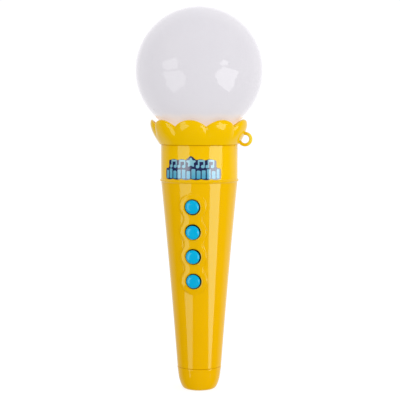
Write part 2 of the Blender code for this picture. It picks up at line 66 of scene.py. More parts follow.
MM = 0.001
CAMERA_AZIMUTH = math.radians(10.5)
CAMERA_DISTANCE, CAMERA_HEIGHT, CAMERA_LENS = 0.650, 0.1546, 106.9
AIM = Vector((0.0004, 0, 0.1043))
TABLE_HALF, TABLE_GLOW, TABLE_ALBEDO = 3, 0.80, 0.28
TENT_LIGHT, TENT_SLANT, TENT_LEAN = 0.935, 0.33, (0.78, -0.30, 0.55)
BACKDROP_LIGHT = 1.05
MIRRORED_FRONT, MIRRORED_SIDES, MIRRORED_BEHIND = 0.012, 0.55, 0.45
# Each soft box has its azimuth, its radiance, and outlines of (sideways, height) points in metres.
BOX_DISTANCE = 0.8
SOFT_BOXES = {
    "left_soft_box": (-36.5, 1.85, [
        [(-0.32, 0.34), (0.06, 0.45), (0.13, 0.37), (0.14, 0.21), (-0.10, 0.17), (-0.27, 0.20)],
        [(-0.24, 0.14), (0.10, 0.14), (0.18, 0.16), (0.25, 0.11), (0.36, 0.0), (0.30, -0.22),
         (-0.12, -0.42), (-0.25, -0.15), (-0.20, -0.06), (-0.29, 0.11)],
    ]),
    "right_soft_box": (60.5, 3.0, [
        [(-0.11, 0.24), (0.34, 0.145), (0.23, -0.03), (0.255, -0.145), (0.19, -0.37), (-0.23, -0.175),
         (-0.26, -0.075), (-0.35, 0.0), (-0.29, 0.126)],
        [(-0.205, 0.33), (-0.10, 0.41), (0.04, 0.36), (-0.01, 0.27), (-0.18, 0.27)],
    ]),
}


class Flow:
    """A shader socket. Python's operators on it add the Math nodes that they stand for."""

    def __init__(self, tree, socket=None):
        self.tree, self.socket = tree, socket

    def node(self, kind, settings=None, inputs=None, out=0):
        """Adds a node: its settings first, then values or links for its sockets. Gives back its output."""
        made = self.tree.nodes.new(kind)
        for name, value in (settings or {}).items():
            setattr(made, name, value)
        for name, value in (inputs or {}).items():
            if isinstance(value, Flow):
                self.tree.links.new(value.socket, made.inputs[name])
            else:
                made.inputs[name].default_value = value
        return Flow(self.tree, made.outputs[out] if len(made.outputs) else None)

    def math(self, operation, *others):
        return self.node("ShaderNodeMath", {"operation": operation}, dict(enumerate((self, *others))))

    def __add__(self, other):
        return self.math("ADD", other)

    __radd__ = __add__

    def __sub__(self, other):
        return self.math("SUBTRACT", other)

    def __rsub__(self, other):
        return self.math("MULTIPLY_ADD", -1.0, other)

    def __mul__(self, other):
        return self.math("MULTIPLY", other)

    __rmul__ = __mul__

    def __truediv__(self, other):
        return self.math("DIVIDE", other)

    def __pow__(self, other):
        return self.math("POWER", other)

    def __abs__(self):
        return self.math("ABSOLUTE")

    def least(self, other):
        return self.math("MINIMUM", other)

    def most(self, other):
        return self.math("MAXIMUM", other)

    def step(self, low, high):
        """0 below low, 1 above high, and smooth between them."""
        settings = {"interpolation_type": "SMOOTHSTEP"}
        return self.node("ShaderNodeMapRange", settings, {"Value": self, "From Min": low, "From Max": high})

    def tint(self, first, second):
        """A colour that goes from first to second as this value goes from 0 to 1."""
        ends = [end if isinstance(end, Flow) else (*end, 1) for end in (first, second)]
        return self.node("ShaderNodeMix", {"data_type": "RGBA"}, {0: self, 6: ends[0], 7: ends[1]}, out=2)

    def noise(self, scale, detail):
        """Clouds from 0 to 1, at this place."""
        inputs = {"Vector": self, "Scale": scale, "Detail": detail}
        return self.node("ShaderNodeTexNoise", None, inputs)

    def along(self, axis):
        """One coordinate of this vector: 0, 1 or 2."""
        return self.node("ShaderNodeSeparateXYZ", None, {"Vector": self}, out=axis)

    def dot(self, direction):
        settings = {"operation": "DOT_PRODUCT"}
        return self.node("ShaderNodeVectorMath", settings, {0: self, 1: direction}, out=1)

    def bump(self, strength, depth):
        """The surface normal over this height, depth in millimetres."""
        inputs = {"Height": self, "Strength": strength, "Distance": depth * MM}
        return self.node("ShaderNodeBump", None, inputs)


def colour(red, green, blue):
    """The linear colour of three display values out of 255."""
    parts = (red / 255, green / 255, blue / 255)
    return tuple(((c + 0.055) / 1.055) ** 2.4 if c > 0.04 else c / 12.92 for c in parts)


def linked(name, mesh):
    made = bpy.data.objects.new(name, mesh)
    bpy.context.scene.collection.objects.link(made)
    return made


def flat(name, corners_list):
    """Flat polygons as one mesh, their corners in metres."""
    points = [corner for corners in corners_list for corner in corners]
    starts = np.cumsum([0] + [len(corners) for corners in corners_list])
    mesh = bpy.data.meshes.new(name)
    mesh.from_pydata(points, [], [range(a, b) for a, b in zip(starts[:-1], starts[1:])])
    return linked(name, mesh)


def new_material(name):
    """An empty material, and its tree as a Flow."""
    made = bpy.data.materials.new(name)
    made.use_nodes = True
    made.node_tree.nodes.clear()
    return made, Flow(made.node_tree)


def glowing(name, radiance, albedo=0.0):
    """A surface that gives light, and that also takes some if albedo isn't 0."""
    made, ground = new_material(name)
    light = ground.node("ShaderNodeEmission", None, {"Strength": radiance})
    if albedo:
        matt = ground.node("ShaderNodeBsdfDiffuse", None, {"Color": (albedo, albedo, albedo, 1)})
        light = ground.node("ShaderNodeAddShader", None, {0: light, 1: matt})
    ground.node("ShaderNodeOutputMaterial", None, {"Surface": light})
    return made


away = Vector((math.sin(CAMERA_AZIMUTH), -math.cos(CAMERA_AZIMUTH), 0))
camera = linked("camera", bpy.data.cameras.new("camera"))
camera.location = away * CAMERA_DISTANCE + Vector((0, 0, CAMERA_HEIGHT))
camera.rotation_euler = (AIM - camera.location).to_track_quat("-Z", "Y").to_euler()
camera.data.sensor_width = 36
camera.data.lens = CAMERA_LENS
bpy.context.scene.camera = camera
bpy.context.scene.view_settings.view_transform = "Standard"

signs = ((-1, -1), (1, -1), (1, 1), (-1, 1))
table_corners = [(TABLE_HALF * x, TABLE_HALF * y, cad_box[0].z) for x, y in signs]
table = flat("table", [table_corners])
table.data.materials.append(glowing("table_white", TABLE_GLOW, TABLE_ALBEDO))
table.visible_glossy = False
table.visible_diffuse = False
table.visible_shadow = False

for name, (azimuth, radiance, shapes) in SOFT_BOXES.items():
    a = math.radians(azimuth)
    middle = Vector((math.sin(a), -math.cos(a), 0)) * BOX_DISTANCE
    side = Vector((math.cos(a), math.sin(a), 0))
    soft_box = flat(name, [[middle + side * s + Vector((0, 0, z)) for s, z in shape] for shape in shapes])
    soft_box.data.materials.append(glowing(name, radiance))
    soft_box.visible_camera = False
    soft_box.visible_diffuse = False
    soft_box.visible_shadow = False

world = bpy.data.worlds.new("tent")
bpy.context.scene.world = world
world.use_nodes = True
world.node_tree.nodes.clear()
world.cycles.sampling_method = "NONE"
sky = Flow(world.node_tree)
ray = sky.node("ShaderNodeTexCoord", out=0)
facing = ray.dot(away)
mirrored = MIRRORED_FRONT + MIRRORED_SIDES * facing.step(-0.08, -0.60)
mirrored = mirrored + MIRRORED_BEHIND * facing.step(-0.60, -1.0)
soft = TENT_LIGHT + TENT_SLANT * ray.dot(TENT_LEAN)
is_camera = sky.node("ShaderNodeLightPath", out=0)
is_glossy = sky.node("ShaderNodeLightPath", out=3)
strength = soft + is_glossy * (mirrored - soft)
strength = strength + is_camera * (BACKDROP_LIGHT - strength)
background = sky.node("ShaderNodeBackground", None, {"Color": (1, 1, 1, 1), "Strength": strength})
sky.node("ShaderNodeOutputWorld", None, {"Surface": background})

# The two shells of the handle: one turned shape split down the sides, moulded in glossy yellow plastic.
# The front has a raised wavy panel and four button holes, the back has screw posts, the sound holes and
# the battery opening. Five screws from behind hold them together.

SEAM = 0.06
SHELL_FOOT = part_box("front_shell")[0].z / MM - 0.15
NECK_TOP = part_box("front_shell")[1].z / MM + 0.15
BEAD_PROUD = 0.6
NECK_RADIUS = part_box("back_shell")[1].x / MM - BEAD_PROUD
CAP_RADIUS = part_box("end_cap")[1].x / MM
CAP_SEAM = SHELL_FOOT - 0.12
BEAD_HEIGHT = 115.4
HANDLE_SAG = 0.28
WALL = 1.5
BUTTONS = 4
BUTTON_PITCH = 13.5
BUTTON_HOLE = 4.3
PANEL_MIDDLE = 81.8
PANEL_PROUD, PANEL_ROLL, PANEL_DROP, PANEL_STEP = 0.6, 3.4, 1.0, 0.22
PANEL_LOBE, PANEL_WAIST = 7.3, 5.1
POSTS = [(-13.2, 120.5, 3.4), (13.2, 120.5, 3.4), (-11.6, 83.6, 3.4), (11.6, 83.6, 3.4), (0.0, 17.9, 2.9)]
COVER_HALF_WIDTH, COVER_BOTTOM, COVER_SHOULDER, COVER_TOP = 10.9, 21.8, 73.0, 80.5
TAB_HALF_WIDTH = 4.5
COVER_GAP = 0.25
COVER_SCREW_HEIGHT = 76.9
LEDGE_DEPTH = 12.6
SPEAKER_HEIGHT = 101.0
UPPER_YELLOW, LOWER_YELLOW = colour(247, 195, 0), colour(237, 180, 0)


def surfaced(made, start, sockets):
    """Ends a material in one Principled surface with these sockets."""
    shader = start.node("ShaderNodeBsdfPrincipled", None, sockets)
    start.node("ShaderNodeOutputMaterial", None, {"Surface": shader})
    return made


def plastic(name, first, second, roughness=0.07, place_mask=None, constants=None):
    """Glossy moulded plastic: faint flow clouds in the colour, rubbed patches and a fine orange peel."""
    made, start = new_material(name)
    place = start.node("ShaderNodeTexCoord", out=3)
    clouds = place.noise(42, 2)
    scuffs = place.noise(310, 5)
    peel = place.noise(1900, 2) * 0.35 + place.noise(240, 2)
    mask = place_mask(place) if place_mask else clouds.step(0.3, 0.7)
    shade = 1 + (clouds - 0.5) * 0.05 + (scuffs - 0.5) * 0.03
    mixed = {"Color": mask.tint(first, second), "Value": shade, "Fac": 1.0}
    return surfaced(made, start, {
        "Base Color": start.node("ShaderNodeHueSaturation", None, mixed),
        "Roughness": roughness + scuffs.step(0.52, 0.8) * 0.09,
        "Normal": peel.bump(0.5, 0.012),
        **(constants or {}),
    })


def handle_radius(z):
    t = (z - CAP_SEAM) / (BEAD_HEIGHT - CAP_SEAM)
    return CAP_RADIUS - 0.05 + (NECK_RADIUS + 0.05 - CAP_RADIUS) * t - HANDLE_SAG * 4 * t * (1 - t)


def shell_radius(z):
    """The outer radius of the shells: foot round, cone, bead, neck and top round."""
    radius = np.where(z < BEAD_HEIGHT, handle_radius(z), NECK_RADIUS)
    bead = np.clip(abs(z - BEAD_HEIGHT) / 0.85, 0, 1)
    radius = radius + BEAD_PROUD * np.cos(bead * math.pi / 2)
    for edge, up, size in ((SHELL_FOOT, 1, 0.2), (NECK_TOP, -1, 0.2)):
        inside = np.clip(size - (z - edge) * up, 0, size)
        radius = radius - size + np.sqrt(size**2 - inside**2)
    return radius


def panel_distance(x, z):
    """How far a point on the front lies outside the wavy outline of four lobes."""
    up = z - PANEL_MIDDLE
    reach = BUTTON_PITCH * (BUTTONS - 1) / 2
    turns = 2 * math.pi / BUTTON_PITCH
    swing = (PANEL_LOBE - PANEL_WAIST) / 2
    width = PANEL_WAIST + swing - swing * np.cos(turns * up)
    slope = swing * turns * np.sin(turns * up)
    between = (abs(x) - width) / np.sqrt(1 + slope**2)
    beyond = np.hypot(x, abs(up) - reach) - PANEL_LOBE
    return np.where(abs(up) > reach, beyond, between)


def smooth(value, low, high):
    t = np.clip((value - low) / (high - low), 0, 1)
    return t * t * (3 - 2 * t)


def moulded(name, points, faces, finish=None, sharp=38):
    """A mesh from points in millimetres, its faces turned outwards, smooth but for sharp edges."""
    bm = bmesh.new()
    corners = [bm.verts.new(Vector(point) * MM) for point in points]
    for face in faces:
        bm.faces.new([corners[i] for i in face])
    bmesh.ops.recalc_face_normals(bm, faces=bm.faces)
    mesh = bpy.data.meshes.new(name)
    bm.to_mesh(mesh)
    bm.free()
    mesh.shade_smooth()
    mesh.set_sharp_from_angle(angle=math.radians(sharp))
    if finish:
        mesh.materials.append(finish)
    return linked(name, mesh)


def turned(name, section, finish=None, segments=96, sharp=38):
    """A closed section of (radius, height) points, spun about Z. Points on the axis become one."""
    points, rings = [], []
    for radius, height in section:
        if radius == 0:
            rings.append([len(points)] * segments)
            points.append((0, 0, height))
        else:
            rings.append(range(len(points), len(points) + segments))
            angles = [2 * math.pi * i / segments for i in range(segments)]
            points += [(radius * math.cos(a), radius * math.sin(a), height) for a in angles]
    faces = []
    for ring, following in zip(rings, rings[1:] + rings[:1]):
        for i in range(segments):
            j = (i + 1) % segments
            corners = list(dict.fromkeys([ring[i], ring[j], following[j], following[i]]))
            if len(corners) > 2:
                faces.append(corners)
    return moulded(name, points, faces, finish, sharp)


def applied(piece, sharp=38):
    """The piece with its modifiers made final."""
    graph = bpy.context.evaluated_depsgraph_get()
    mesh = bpy.data.meshes.new_from_object(piece.evaluated_get(graph))
    piece.modifiers.clear()
    piece.data = mesh
    mesh.shade_smooth()
    mesh.set_sharp_from_angle(angle=math.radians(sharp))
    return piece


def joined(name, pieces):
    """One object out of several: separate closed bodies in one mesh."""
    bm = bmesh.new()
    for piece in pieces:
        bm.from_mesh(piece.data)
        bpy.data.objects.remove(piece)
    mesh = bpy.data.meshes.new(name)
    bm.to_mesh(mesh)
    bm.free()
    return linked(name, mesh)


def cut(piece, tools, operation="DIFFERENCE"):
    """Cuts, or keeps what is inside, the tools, which are then thrown away."""
    tool = joined("tool", tools)
    step = piece.modifiers.new("cut", "BOOLEAN")
    step.operation = operation
    step.solver = "EXACT"
    step.object = tool
    applied(piece)
    bpy.data.objects.remove(tool)
    return piece


def prism(outline, low, high):
    """An outline of (x, z) points, drawn out along Y."""
    count = len(outline)
    points = [(x, y, z) for y in (low, high) for x, z in outline]
    faces = [range(count), range(count, 2 * count)]
    faces += [(i, (i + 1) % count, (i + 1) % count + count, i + count) for i in range(count)]
    return moulded("prism", points, faces)


def rod(radius, start, end, segments=40):
    """A round bar between two points."""
    run = Vector(end) - Vector(start)
    made = turned("rod", [(0, 0), (radius, 0), (radius, run.length), (0, run.length)], segments=segments)
    made.data.transform(run.to_track_quat("Z", "Y").to_matrix().to_4x4())
    made.data.transform(Matrix.Translation(Vector(start) * MM))
    return made


def half_shell(name, side, heights, angles, relief=None):
    """Half of the handle, hollow: its outer skin, inner skin and the flat rims between them."""
    heights, angles = np.array(heights), np.radians(angles)
    z, a = np.meshgrid(heights, angles, indexing="ij")
    radius = shell_radius(z)
    if relief is not None:
        radius = radius + relief(radius * np.cos(a), z, radius)
    from_seam = np.clip(radius * abs(np.sin(a)) / 0.3, 0, 1)
    radius = radius - 0.14 * (1 - from_seam) ** 2
    outer = np.stack([radius * np.cos(a), side * np.maximum(radius * abs(np.sin(a)), SEAM), z], 2)

    lip, shelf = 18.4, 13.5
    section = [(9.6, SHELL_FOOT), (9.6, 13.7)]
    section += [(handle_radius(h) - WALL, h) for h in (13.7, 30, 50, 70, 90, 112)]
    section += [(NECK_RADIUS - WALL, 116), (NECK_RADIUS - WALL, 125.9), (shelf, 125.9), (shelf, 127.2)]
    section += [(NECK_RADIUS - WALL, 127.2), (NECK_RADIUS - WALL, 130.7), (lip, 130.7), (lip, NECK_TOP)]
    inner_angles = np.radians(np.linspace(0, 180, 41))
    inner = np.array([
        [(r * math.cos(t), side * max(r * math.sin(t), SEAM), h) for t in inner_angles] for r, h in section
    ])

    points, faces, edges = [], [], []
    for block in (outer, inner):
        rows, columns = block.shape[:2]
        index = np.arange(rows * columns).reshape(rows, columns) + len(points)
        points += [tuple(p) for p in block.reshape(-1, 3)]
        faces += [
            (index[i, j], index[i, j + 1], index[i + 1, j + 1], index[i + 1, j])
            for i in range(rows - 1) for j in range(columns - 1)
        ]
        edges.append(index)
    skin, hollow = edges
    faces += [
        [*skin[:, 0], *hollow[::-1, 0]], [*skin[:, -1], *hollow[::-1, -1]],
        [*skin[0], *hollow[0, ::-1]], [*skin[-1], *hollow[-1, ::-1]],
    ]
    return moulded(name, [tuple(map(float, p)) for p in points], [[int(i) for i in f] for f in faces])


def post(x, z, side, section):
    """A hollow post along Y. Its section has (radius, depth) points; depth None is inside the wall."""
    segments = 32
    points, faces = [], []
    for radius, depth in section:
        for i in range(segments):
            a = 2 * math.pi * i / segments
            px, pz = x + radius * math.cos(a), z + radius * math.sin(a)
            reach = math.sqrt(max(float(shell_radius(np.array(pz))) ** 2 - px**2, 4)) - 0.7
            points.append((px, side * (reach if depth is None else depth), pz))
    count = len(section)
    for k in range(count):
        for i in range(segments):
            j, m = (i + 1) % segments, (k + 1) % count
            faces.append((k * segments + i, k * segments + j, m * segments + j, m * segments + i))
    return moulded("post", points, faces)


def spread(*runs):
    """Rising numbers: each run is (start, end, steps)."""
    numbers = [float(v) for a, b, steps in runs for v in np.linspace(a, b, steps, endpoint=False)]
    return numbers + [runs[-1][1]]


def raised_panel(across, z, radius):
    """The panel over the cone: nearly flat on top, rolled over towards its edge, then a short steep flank."""
    cosine = np.sqrt(np.maximum(1 - (across / radius) ** 2, 0.1))
    rise = 0.0
    for _ in range(3):
        outside = panel_distance(across * (1 + rise / radius), z)
        inside = np.clip(-outside / PANEL_ROLL, 0, 1)
        top = handle_radius(z) + PANEL_PROUD - PANEL_DROP * (1 - np.sqrt(1 - (1 - inside) ** 2))
        rise = np.maximum(top / cosine - radius, PANEL_STEP)
    rim = np.full_like(z, 9.0)
    for middle in button_middles:
        away_from_hole = np.hypot(across * (1 + rise / radius), z - middle.z + 0.64) - BUTTON_HOLE
        rim = np.minimum(rim, abs(away_from_hole))
    rise = rise - 0.16 * (1 - smooth(rim, 0, 0.5))
    return rise * (1 - smooth(outside, -0.3, 0.35)) * (abs(z - PANEL_MIDDLE) < 32)


def height_tone(place):
    """1 on the neck and less down the handle: the yellow is lightest on the neck and darker towards the
    bottom.
    """
    height = place.along(2)
    neck = height.step((BEAD_HEIGHT - 0.6) * MM, (BEAD_HEIGHT + 1.2) * MM)
    climb = (height - (CAP_SEAM + 2.6) * MM) * 4.6
    return neck * 0.5 + climb.most(0).least(0.5)


lemon_shine = {"Specular Tint": (0.4, 1.05, 0.85, 1.0)}
yellow = plastic("yellow_plastic", LOWER_YELLOW, UPPER_YELLOW, place_mask=height_tone, constants=lemon_shine)
gap_shade = plastic("shaded_gap", colour(34, 40, 10), colour(22, 34, 16), 0.5)
slide = {joint["name"]: Vector(joint["axis"]).normalized() for joint in frame["joints"]}
button_axis = slide["button_1_press"]


def node_middle(node):
    """The mean of a node's vertices, in millimetres: on the axis of a turned piece."""
    points = [v.co for v in frame["nodes"][node].data.vertices]
    return sum(points, Vector()) / len(points) / MM


button_middles = [node_middle(f"rubber_dome_{i + 1}") for i in range(BUTTONS)]

foot_rows = (SHELL_FOOT, SHELL_FOOT + 0.35, 5)
bead_rows = (BEAD_HEIGHT - 1.0, BEAD_HEIGHT + 1.0, 16)
top_rows = [(bead_rows[1], NECK_TOP - 0.8, 12), (NECK_TOP - 0.8, NECK_TOP, 6)]
panel_rows = [(foot_rows[1], 52, 26), (52, 112, 240), (112, bead_rows[0], 3)]
front_heights = spread(foot_rows, *panel_rows, bead_rows, *top_rows)
front_angles = spread((0, 2, 4), (2, 58, 28), (58, 122, 80), (122, 178, 28), (178, 180, 4))
front = half_shell("handle_front", -1, front_heights, front_angles, raised_panel)
front_cuts = [rod(BUTTON_HOLE, m - button_axis * 14, m + button_axis, 64) for m in button_middles]
front = cut(front, front_cuts)
for face in front.data.polygons:
    middle = Vector(face.center) / MM
    for m in button_middles:
        away_from_axis = (middle - m).cross(button_axis).length
        if away_from_axis < BUTTON_HOLE + 0.01 and abs(Vector(face.normal).dot(button_axis)) < 0.2:
            face.material_index = 1
front_posts = [
    post(x, z, -1, [(1.3, SEAM), (size - 0.8, SEAM), (size - 0.8, None), (0.3, None), (0.3, 7.5), (1.3, 7.5)])
    for x, z, size in POSTS
]
front = joined("handle_front", [front, *front_posts])
front.data.materials.append(yellow)
front.data.materials.append(gap_shade)
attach(front, "housing")
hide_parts("front_shell")


def cover_outline(grown):
    """The battery cover's outline with its screw tab, grown by a gap."""
    w, t = COVER_HALF_WIDTH + grown, TAB_HALF_WIDTH + grown
    low, shoulder, top = COVER_BOTTOM - grown, COVER_SHOULDER + grown, COVER_TOP + grown
    corners = [(-w, low), (w, low), (w, shoulder), (t, shoulder)]
    corners += [(t, top), (-t, top), (-t, shoulder), (-w, shoulder)]
    sizes = [1.2 + grown, 1.2 + grown, 1.2 + grown, 0.8, 1.6 + grown, 1.6 + grown, 0.8, 1.2 + grown]
    befores, afters = corners[-1:] + corners[:-1], corners[1:] + corners[:1]
    outline = []
    for before, corner, after, size in zip(befores, corners, afters, sizes):
        here = Vector(corner)
        enter = here + (Vector(before) - here).normalized() * size
        leave = here + (Vector(after) - here).normalized() * size
        for k in range(6):
            t01 = k / 5
            outline.append(tuple(enter * (1 - t01) ** 2 + here * 2 * t01 * (1 - t01) + leave * t01**2))
    return outline


back_heights = spread(foot_rows, (foot_rows[1], bead_rows[0], 96), bead_rows, *top_rows)
back_angles = spread((0, 2, 4), (2, 178, 100), (178, 180, 4))
back = half_shell("handle_back", 1, back_heights, back_angles)
grille = [(0.0, 0.0)]
for ring, count in ((3.6, 6), (7.2, 12)):
    angles = [2 * math.pi * i / count for i in range(count)]
    grille += [(ring * math.cos(a), ring * math.sin(a)) for a in angles]
tools = [rod(1.0, (x, 13, SPEAKER_HEIGHT + up), (x, 35, SPEAKER_HEIGHT + up), 20) for x, up in grille]
tools += [rod(2.45, (x, 4.5, z), (x, 40, z)) for x, z, _ in POSTS]
tools.append(prism(cover_outline(COVER_GAP), 2.5, 40))
back = cut(back, tools)
back_posts = [
    post(x, z, 1, [(1.3, SEAM), (size, SEAM), (size, None), (2.45, None), (2.45, 3.5), (1.3, 3.5)])
    for x, z, size in POSTS
]
speaker_holder = post(0, SPEAKER_HEIGHT, 1, [(13.8, 8.5), (15.2, 8.5), (15.2, None), (13.8, None)])
ledge = prism([(-4.2, 73.6), (4.2, 73.6), (4.2, 82.0), (-4.2, 82.0)], 8.0, LEDGE_DEPTH)
ledge = cut(ledge, [rod(1.3, (0, 7, COVER_SCREW_HEIGHT), (0, 20, COVER_SCREW_HEIGHT))])
ledge_wall = prism([(-4.2, 81.0), (4.2, 81.0), (4.2, 82.0), (-4.2, 82.0)], LEDGE_DEPTH, 16.0)
back = joined("handle_back", [back, *back_posts, speaker_holder, ledge, ledge_wall])
back.data.materials.append(yellow)
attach(back, "housing")
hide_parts("back_shell")

# The case screws: zinc-plated pan heads with a cross recess, sunk in deep round wells in the back.
# Their thread bites into the posts of the front shell.

SCREW_HEAD, SCREW_SHANK, HEAD_HEIGHT = 2.1, 1.0, 1.3


def metal(name, first, second, roughness=0.3, scale=260):
    """Plated or pressed metal: slight clouds in its colour, brushed roughness and a fine uneven face."""
    made, start = new_material(name)
    place = start.node("ShaderNodeTexCoord", out=3)
    clouds = place.noise(scale, 4)
    return surfaced(made, start, {
        "Base Color": clouds.step(0.3, 0.7).tint(first, second),
        "Roughness": roughness + (clouds - 0.5) * 0.25,
        "Metallic": 1.0,
        "Normal": place.noise(scale * 7, 3).bump(0.6, 0.01),
    })


def cross_screw(name, x, seat, z, length):
    """A pan-head screw along Y: the head's underside at depth seat, its thread running towards -Y."""
    section = [(0, HEAD_HEIGHT)]
    for a in np.radians([25, 45, 62, 78, 90]):
        section.append((SCREW_HEAD * math.sin(a), HEAD_HEIGHT * (0.35 + 0.65 * math.cos(a))))
    section += [(SCREW_HEAD, 0.12), (SCREW_HEAD - 0.12, 0), (SCREW_SHANK, 0)]
    turns = int((length - 1.4) / 0.8)
    for i in range(turns):
        section += [(SCREW_SHANK * 0.76, -0.35 - 0.8 * i), (SCREW_SHANK, -0.75 - 0.8 * i)]
    section += [(SCREW_SHANK * 0.7, -length + 0.8), (0.12, -length), (0, -length)]
    screw = turned(name, section, segments=28)
    blade = [(-1.15, HEAD_HEIGHT + 0.1), (1.15, HEAD_HEIGHT + 0.1), (0.55, 0.35), (-0.55, 0.35)]
    for turn, size in ((0, 1), (90, 0.999)):
        tool = prism(blade, -0.2, 0.2)
        tool.data.transform(Matrix.Rotation(math.radians(turn), 4, "Z"))
        tool.data.transform(Matrix.Scale(size, 4))
        cut(screw, [tool])
    screw.data.transform(Matrix.Rotation(math.radians(-90), 4, "X"))
    screw.data.transform(Matrix.Translation(Vector((x, seat, z)) * MM))
    screw.data.materials.append(zinc)
    return screw


zinc = metal("zinc_steel", colour(190, 190, 192), colour(168, 170, 176), 0.32)
for i, (x, z, _) in enumerate(POSTS):
    node = f"case_screw_{i + 1}"
    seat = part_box(node)[1].y / MM - HEAD_HEIGHT
    screw = cross_screw(f"case_cross_screw_{i + 1}", x, seat, z, 9.5)
    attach(screw, "housing")
    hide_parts(node)

# The end cap: the same yellow plastic, pushed into the foot of the handle with a snap ring.
# Its skin rounds over to a flat foot that the toy can stand on.


def flowing(points, steps=5):
    """A smooth line through (radius, height) points, which it passes through."""
    ends = [2 * Vector(points[0]) - Vector(points[1])] + [Vector(p) for p in points]
    ends.append(2 * Vector(points[-1]) - Vector(points[-2]))
    line = []
    for a, b, c, d in zip(ends, ends[1:], ends[2:], ends[3:]):
        for i in range(steps):
            t = i / steps
            bend = (2 * a - 5 * b + 4 * c - d) * t**2 + (3 * b - a - 3 * c + d) * t**3
            line.append(tuple(0.5 * (2 * b + (c - a) * t + bend)))
    return line + [tuple(points[-1])]


cap_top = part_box("end_cap")[1].z / MM
snap = cap_top - 0.7
cap_section = [(0, 2.0), (7.4, 2.0), (8.2, 3.4), (8.2, cap_top), (10.2, cap_top), (10.2, snap), (9.3, snap)]
cap_section += [(9.3, CAP_SEAM), (CAP_RADIUS - 0.3, CAP_SEAM)]
cap_skin = [(CAP_RADIUS - 0.09, CAP_SEAM - 0.09), (CAP_RADIUS, CAP_SEAM - 0.35), (12.02, 11.0), (11.86, 9.9)]
cap_skin += [(11.57, 7.7), (11.2, 5.5), (10.55, 3.3), (9.7, 1.35), (8.9, 0.35), (8.1, 0.0)]
cap_section += flowing(cap_skin) + [(0, 0)]
cap = turned("foot_cap", cap_section, yellow)
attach(cap, "housing")
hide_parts("end_cap")

# The petal collar: a yellow cup of nine petals that the globe snaps into, pushed into the neck.
# Its lip is rounded and curls in a little, and a small eyelet for a wrist strap is moulded on its side.

COLLAR_BOTTOM = 134.95
PETALS = 9
PETAL_TURN = -1.0
PETAL_PEAK, PETAL_NOTCH = 148.4, 144.9
PETAL_CREASE = 1.2
EYELET_MIDDLE = (25.3, 137.8)
EYELET_RADIUS, EYELET_HOLE = 4.0, 2.2


def flank(z):
    """The collar's outer radius at the middle of a petal."""
    t = min(max((z - COLLAR_BOTTOM - 0.2) / 12, 0), 1.12)
    return 21.8 + 5.0 * math.sin(math.pi / 2 * t)


def petal_section(p):
    """The collar's closed section where p is 0 at the middle of a petal and 1 in a notch."""
    top = PETAL_PEAK - (PETAL_PEAK - PETAL_NOTCH) * p**2
    thickness, lip = 1.6, 0.75

    def skin(z):
        depth = float(smooth(z, 137.6, 144.0))
        curl = 0.35 * float(smooth(z, top - 2.6, top))
        return flank(z) - PETAL_CREASE * depth * p**3 - curl

    crown = top - lip
    section = [(21.55, COLLAR_BOTTOM), (21.72, COLLAR_BOTTOM + 0.06)]
    section += [(skin(z), z) for z in np.linspace(COLLAR_BOTTOM + 0.25, crown, 26)]
    middle = skin(crown) - thickness / 2
    for a in np.radians(np.linspace(15, 165, 9)):
        section.append((middle + thickness / 2 * math.cos(a), crown + lip * math.sin(a)))
    section += [(skin(z) - thickness, z) for z in np.linspace(crown, 142.4, 8)]
    section += [(22.6, 141.3), (21.6, 141.2), (18.6, 142.4), (15.8, 143.0), (15.8, 141.4), (17.0, 141.4)]
    section += [(17.0, 128.8), (19.1, 128.8), (19.1, 130.4), (18.1, 130.4), (18.1, COLLAR_BOTTOM)]
    return section


def lit_through_ring(place):
    """1 on the eyelet, which is thin enough to let light through; its paler yellow there is painted light."""
    return place.along(0).step(0.0262, 0.0275) * (1 - place.along(2).step(0.1425, 0.1432))


columns = PETALS * 40
points, faces = [], []
for i in range(columns):
    phase = (i / 40) % 1
    angle = math.radians(-90 + PETAL_TURN) + 2 * math.pi * i / columns
    section = petal_section(2 * abs(phase - round(phase)))
    points += [(r * math.cos(angle), r * math.sin(angle), z) for r, z in section]
size = len(section)
for i in range(columns):
    for k in range(size):
        here, there = i * size, (i + 1) % columns * size
        faces.append((here + k, there + k, there + (k + 1) % size, here + (k + 1) % size))
collar = moulded("petal_cup", points, faces, sharp=46)

half = (EYELET_RADIUS - EYELET_HOLE) / 2
points, faces = [], []
for i in range(56):
    a = 2 * math.pi * i / 56
    for k in range(18):
        b = 2 * math.pi * k / 18
        across = EYELET_HOLE + half + half * math.copysign(abs(math.cos(b)) ** 0.8, math.cos(b))
        deep = 1.12 * math.copysign(abs(math.sin(b)) ** 0.8, math.sin(b))
        outward, up = EYELET_MIDDLE
        points.append((outward + across * math.cos(a), deep, up + across * math.sin(a)))
        faces.append([(i + m) % 56 * 18 + (k + n) % 18 for m, n in ((0, 0), (1, 0), (1, 1), (0, 1))])
eyelet = moulded("eyelet", points, faces)
collar = cut(collar, [eyelet], "UNION")
# The eyelet's paler yellow is painted light that stands in for light let through the thin ring.
collar_yellow, lit_ring_yellow = colour(247, 197, 0), colour(250, 216, 52)
collar_finish = plastic(
    "collar_plastic", collar_yellow, lit_ring_yellow, place_mask=lit_through_ring, constants=lemon_shine
)
collar.data.materials.append(collar_finish)
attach(collar, "housing")
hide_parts("petal_collar")

# The globe: a blow-moulded ball of milky translucent plastic, open at its neck, where a snap bead
# holds it in the collar. It spreads the light of the lamps inside.

globe_low, globe_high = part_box("globe")
GLOBE_RADIUS = globe_high.x / MM
GLOBE_MIDDLE = globe_high.z / MM - GLOBE_RADIUS
GLOBE_WALL = 1.2
SPIGOT = 15.5


def ball(radius, start, end, steps):
    angles = np.radians(np.linspace(start, end, steps))
    return [(float(radius * math.cos(a)), float(GLOBE_MIDDLE + radius * math.sin(a))) for a in angles]


